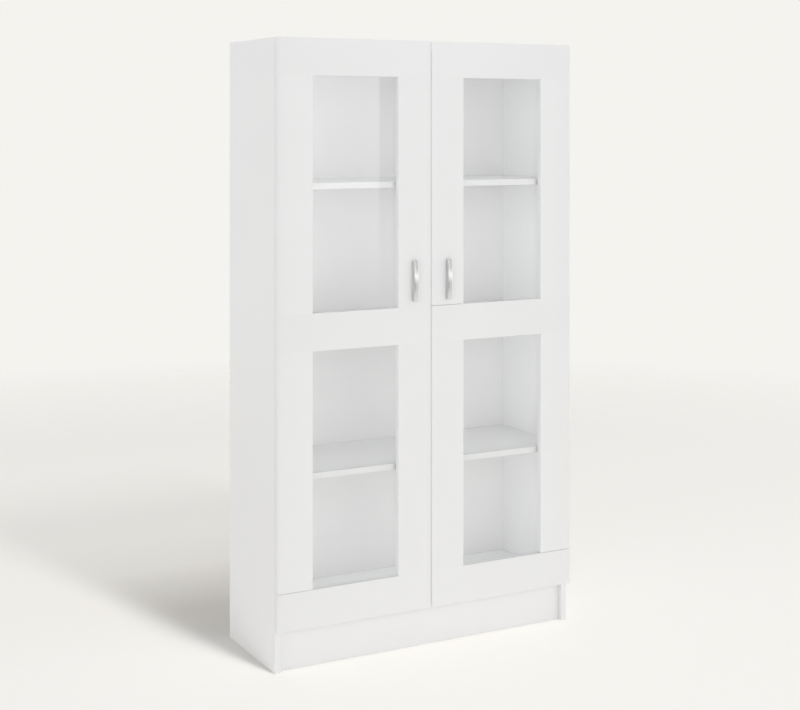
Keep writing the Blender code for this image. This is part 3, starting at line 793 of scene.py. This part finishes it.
def dim_zone(nodes, links, turn, lift):
    """What a dimmer front wall leaves of the sky. One level bright band crosses it, which the
    handles reflect."""
    left, right = math.radians(DIM_LEFT_DEGREES), math.radians(DIM_RIGHT_DEGREES)
    across = between(nodes, links, turn, left, right, math.radians(SOFT_DEGREES))
    shifted = math_node(nodes, links, "SUBTRACT", lift, math.radians(DIM_CENTRE_DEGREES))
    away = math_node(nodes, links, "ABSOLUTE", shifted)
    inner, outer = math.radians(DIM_INNER_DEGREES), math.radians(DIM_OUTER_DEGREES)
    outside = ramp(nodes, links, away, inner, outer, DIM_LEAST, DIM_SHARE)
    loss = math_node(nodes, links, "MULTIPLY", across, outside)
    return math_node(nodes, links, "SUBTRACT", 1.0, loss)


def dark_front(nodes, links, turn, lift):
    """What a dark patch in front leaves of the sky. It draws a fine line along rounded metal."""
    left, right = math.radians(DARK_LEFT_DEGREES), math.radians(DARK_RIGHT_DEGREES)
    soft, high = math.radians(SOFT_DEGREES), math.radians(DARK_HEIGHT_DEGREES)
    across = between(nodes, links, turn, left, right, soft, DARK_SHARE)
    away = math_node(nodes, links, "ABSOLUTE", lift)
    near = ramp(nodes, links, away, high - soft, high + soft, 1.0, 0.0)
    loss = math_node(nodes, links, "MULTIPLY", across, near)
    return math_node(nodes, links, "SUBTRACT", 1.0, loss)


def soft_card(nodes, links, turn, lift):
    """A tall soft light at the front right, which the panes reflect."""
    left, right = math.radians(CARD_LEFT_DEGREES), math.radians(CARD_RIGHT_DEGREES)
    soft = math.radians(CARD_EDGE_DEGREES)
    low, full = math.radians(CARD_LOW_DEGREES), math.radians(CARD_FULL_DEGREES)
    top = math.radians(CARD_TOP_DEGREES)
    across = between(nodes, links, turn, left, right, soft)
    rise = ramp(nodes, links, lift, low, full, 0.0, 1.0)
    fall = ramp(nodes, links, lift, top - soft, top + soft, 1.0, 0.0)
    upright = math_node(nodes, links, "MULTIPLY", rise, fall)
    card = math_node(nodes, links, "MULTIPLY", across, upright)
    return math_node(nodes, links, "MULTIPLY", card, CARD_STRENGTH)


def sky_curve(nodes, links, height, stops, peak):
    """The sky's strength against height, from straight down at 0 to straight up at 1."""
    node = nodes.new("ShaderNodeValToRGB")
    elements = node.color_ramp.elements
    while len(elements) < len(stops):
        elements.new(1.0)
    for element, (position, level) in zip(elements, stops):
        element.position = position
        element.color = (level, level, level, 1.0)
    links.new(height, node.inputs["Fac"])
    return math_node(nodes, links, "MULTIPLY", node.outputs["Color"], peak)


def reflected_room(nodes, links, height, direction):
    """The strength that reflections show: the sky with the room's dim, dark and bright parts."""
    rear = math_node(nodes, links, "MULTIPLY", direction["Y"], -1.0)
    turn = math_node(nodes, links, "ARCTAN2", direction["X"], rear)
    lift = math_node(nodes, links, "ARCSINE", direction["Z"])
    room = sky_curve(nodes, links, height, REFLECTED_STOPS, REFLECTED_PEAK)
    room = math_node(nodes, links, "MULTIPLY", room, dim_zone(nodes, links, turn, lift))
    room = math_node(nodes, links, "MULTIPLY", room, dark_front(nodes, links, turn, lift))
    return math_node(nodes, links, "ADD", room, soft_card(nodes, links, turn, lift))


def studio_sky():
    """Light from all round that changes with height, its own picture for reflections, and a
    plain backdrop for the camera."""
    world = bpy.data.worlds.new("studio")
    world.use_nodes = True
    bpy.context.scene.world = world
    nodes, links = world.node_tree.nodes, world.node_tree.links
    nodes.clear()
    place = nodes.new("ShaderNodeTexCoord")
    split = nodes.new("ShaderNodeSeparateXYZ")
    links.new(place.outputs["Generated"], split.inputs["Vector"])
    height = ramp(nodes, links, split.outputs["Z"], -1.0, 1.0, 0.0, 1.0)
    even = sky_curve(nodes, links, height, SKY_STOPS, SKY_PEAK)
    reflected = reflected_room(nodes, links, height, split.outputs)
    ray = nodes.new("ShaderNodeLightPath")
    strength = nodes.new("ShaderNodeMix")
    links.new(ray.outputs["Is Glossy Ray"], strength.inputs["Factor"])
    links.new(even, strength.inputs["A"])
    links.new(reflected, strength.inputs["B"])
    light = nodes.new("ShaderNodeBackground")
    light.inputs["Color"].default_value = (1.0, 1.0, 1.0, 1.0)
    links.new(strength.outputs["Result"], light.inputs["Strength"])
    plain = nodes.new("ShaderNodeBackground")
    plain.inputs["Color"].default_value = (*BACKDROP, 1.0)
    seen = mix_shaders(
        nodes, links, ray.outputs["Is Camera Ray"], light.outputs["Background"],
        plain.outputs["Background"],
    )
    links.new(seen, nodes.new("ShaderNodeOutputWorld").inputs["Surface"])


def light_group(name, objects):
    """A collection of the objects that a lamp lights, or that block it."""
    group = bpy.data.collections.new(name)
    for obj in objects:
        group.objects.link(obj)
    return group


def area_light(name, place, aim, size, watts, receivers, blockers=None):
    """A flat lamp, turned to its aim, that lights its receivers alone and isn't seen in
    reflections. With blockers named, nothing else shades it."""
    data = bpy.data.lights.new(name, "AREA")
    data.shape = "RECTANGLE"
    data.size, data.size_y = size
    data.energy = watts
    obj = bpy.data.objects.new(name, data)
    obj.location = place
    obj.rotation_euler = (Vector(aim) - Vector(place)).to_track_quat("-Z", "Y").to_euler()
    bpy.context.scene.collection.objects.link(obj)
    obj.visible_camera = False
    obj.visible_glossy = False
    obj.light_linking.receiver_collection = light_group(f"{name}_receivers", receivers)
    if blockers:
        obj.light_linking.blocker_collection = light_group(f"{name}_blockers", blockers)


def floor_lights(ground):
    """Three tall lamps far off at the front right, one above the other."""
    turn = math.radians(STRIP_TURN_DEGREES)
    for name, degrees, watts in STRIPS:
        lift = math.radians(degrees)
        flat = STRIP_DISTANCE * math.cos(lift)
        place = (flat * math.sin(turn), -flat * math.cos(turn), STRIP_DISTANCE * math.sin(lift))
        area_light(f"{name}_strip", place, (0, 0, 0), STRIP_SIZE, watts, [ground])


def cabinet_lights(ground):
    """Soft lamps above and in front of the cabinet, and one that lights its shelves alone."""
    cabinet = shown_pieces()
    area_light("top_soft", TOP_PLACE, (0, 0, CAD_HIGH.z), TOP_SIZE, TOP_WATTS, cabinet)
    area_light("front_soft", FRONT_PLACE, FRONT_AIM, FRONT_SIZE, FRONT_WATTS, cabinet)
    shelves = [frame["nodes"][node] for node in LEVELS[:-1]]
    area_light("shelf_soft", SHELF_PLACE, SHELF_AIM, SHELF_SIZE, SHELF_WATTS, shelves, [ground])


def inside_lights(ground):
    """Lamps within the carcass that cast no shadow, so that they even out its inner faces."""
    low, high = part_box(LEVELS[0])
    front, rear = low.y + INSIDE_CLEARANCE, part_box(BACKS[0])[0].y
    width, depth = high.x - low.x, rear - front
    middle_x, middle_y = (low.x + high.x) / 2, (front + rear) / 2
    receivers = [frame["nodes"][node] for node in INSIDE_NODES]
    for watts, floor_node, roof_node in zip(INSIDE_FRONT_WATTS, LEVELS, LEVELS[1:]):
        base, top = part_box(floor_node)[1].z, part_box(roof_node)[0].z
        z = (base + top) / 2
        size = (width, top - base - 2 * INSIDE_LIFT)
        area_light(
            f"inside_over_{floor_node}", (middle_x, front, z), (middle_x, rear, z), size, watts,
            receivers, [ground],
        )
    base, top = high.z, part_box(LEVELS[-1])[0].z
    middle = (middle_x, middle_y, (base + top) / 2)
    size = (depth, top - base)
    backs = [frame["nodes"][node] for node in BACKS]
    for side, reach in (("left", low.x), ("right", high.x)):
        name = f"inside_{side}"
        wall = (reach, middle_y, middle[2])
        panel = frame["nodes"][f"{side}_side_panel"]
        area_light(name, middle, wall, size, INSIDE_WALL_WATTS, [panel], [ground])
        area_light(f"{name}_corner", wall, middle, size, INSIDE_CORNER_WATTS, backs, [ground])
    above = (middle_x, middle_y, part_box(LEVELS[1])[0].z)
    area_light(
        "inside_base", above, (middle_x, middle_y, base), (width, depth), INSIDE_BASE_WATTS,
        [frame["nodes"][LEVELS[0]]], [ground],
    )


def edge_lights(boards, ground):
    """Lamps from straight left and right for the narrow faces between the doors and round the
    panes, which hardly see the sky. Each leaves out the nearer door's outermost faces."""
    low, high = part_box("left_door_middle_rail")
    y, z = (low.y + high.y) / 2, (low.z + high.z) / 2
    for near, far, x in (("left", "right", -EDGE_DISTANCE), ("right", "left", EDGE_DISTANCE)):
        lit = [
            board for board in boards
            if board.name.startswith(f"{far}_door") or "inner_stile" in board.name
        ]
        area_light(f"{near}_edges", (x, y, z), (0, y, z), EDGE_SIZE, EDGE_WATTS, lit, [ground])


def camera():
    """A camera that faces the photograph's way. Its lens falls and doesn't tilt, so uprights
    stay parallel: a sheared parent tilts the line of sight and leaves the picture upright."""
    drop = (HORIZON_PX - PICTURE_HEIGHT_PX / 2) / FOCAL_PX
    turn = math.radians(CAMERA_TURN_DEGREES)
    data = bpy.data.cameras.new("camera")
    data.sensor_width = SENSOR_WIDTH_MM
    fall = math.atan(-drop)
    data.lens = FOCAL_PX * SENSOR_WIDTH_MM / PICTURE_WIDTH_PX / math.cos(fall)
    data.dof.use_dof = False
    data.clip_start = CAMERA_CLIP_START
    obj = bpy.data.objects.new("camera", data)
    stand = bpy.data.objects.new("camera_stand", None)
    stand.location = CAMERA_PLACE
    for part in (obj, stand):
        bpy.context.scene.collection.objects.link(part)
    shear = Matrix.Identity(4)
    shear[2][0] = drop * math.sin(turn)
    shear[2][1] = drop * math.cos(turn)
    obj.rotation_euler = (math.pi / 2, 0, -turn)
    obj.parent = stand
    obj.matrix_parent_inverse = shear
    bpy.context.scene.camera = obj


bpy.context.scene.view_settings.view_transform = "Standard"
for subpart in frame["record"]["subparts"]:
    dress(frame["nodes"][subpart["node"]], FINISHES[subpart["material_slot"]])
door_boards = [*door("left"), *door("right")]
back_nails()
camera()
studio_sky()
studio_floor = floor()
floor_lights(studio_floor)
cabinet_lights(studio_floor)
inside_lights(studio_floor)
edge_lights(door_boards, studio_floor)
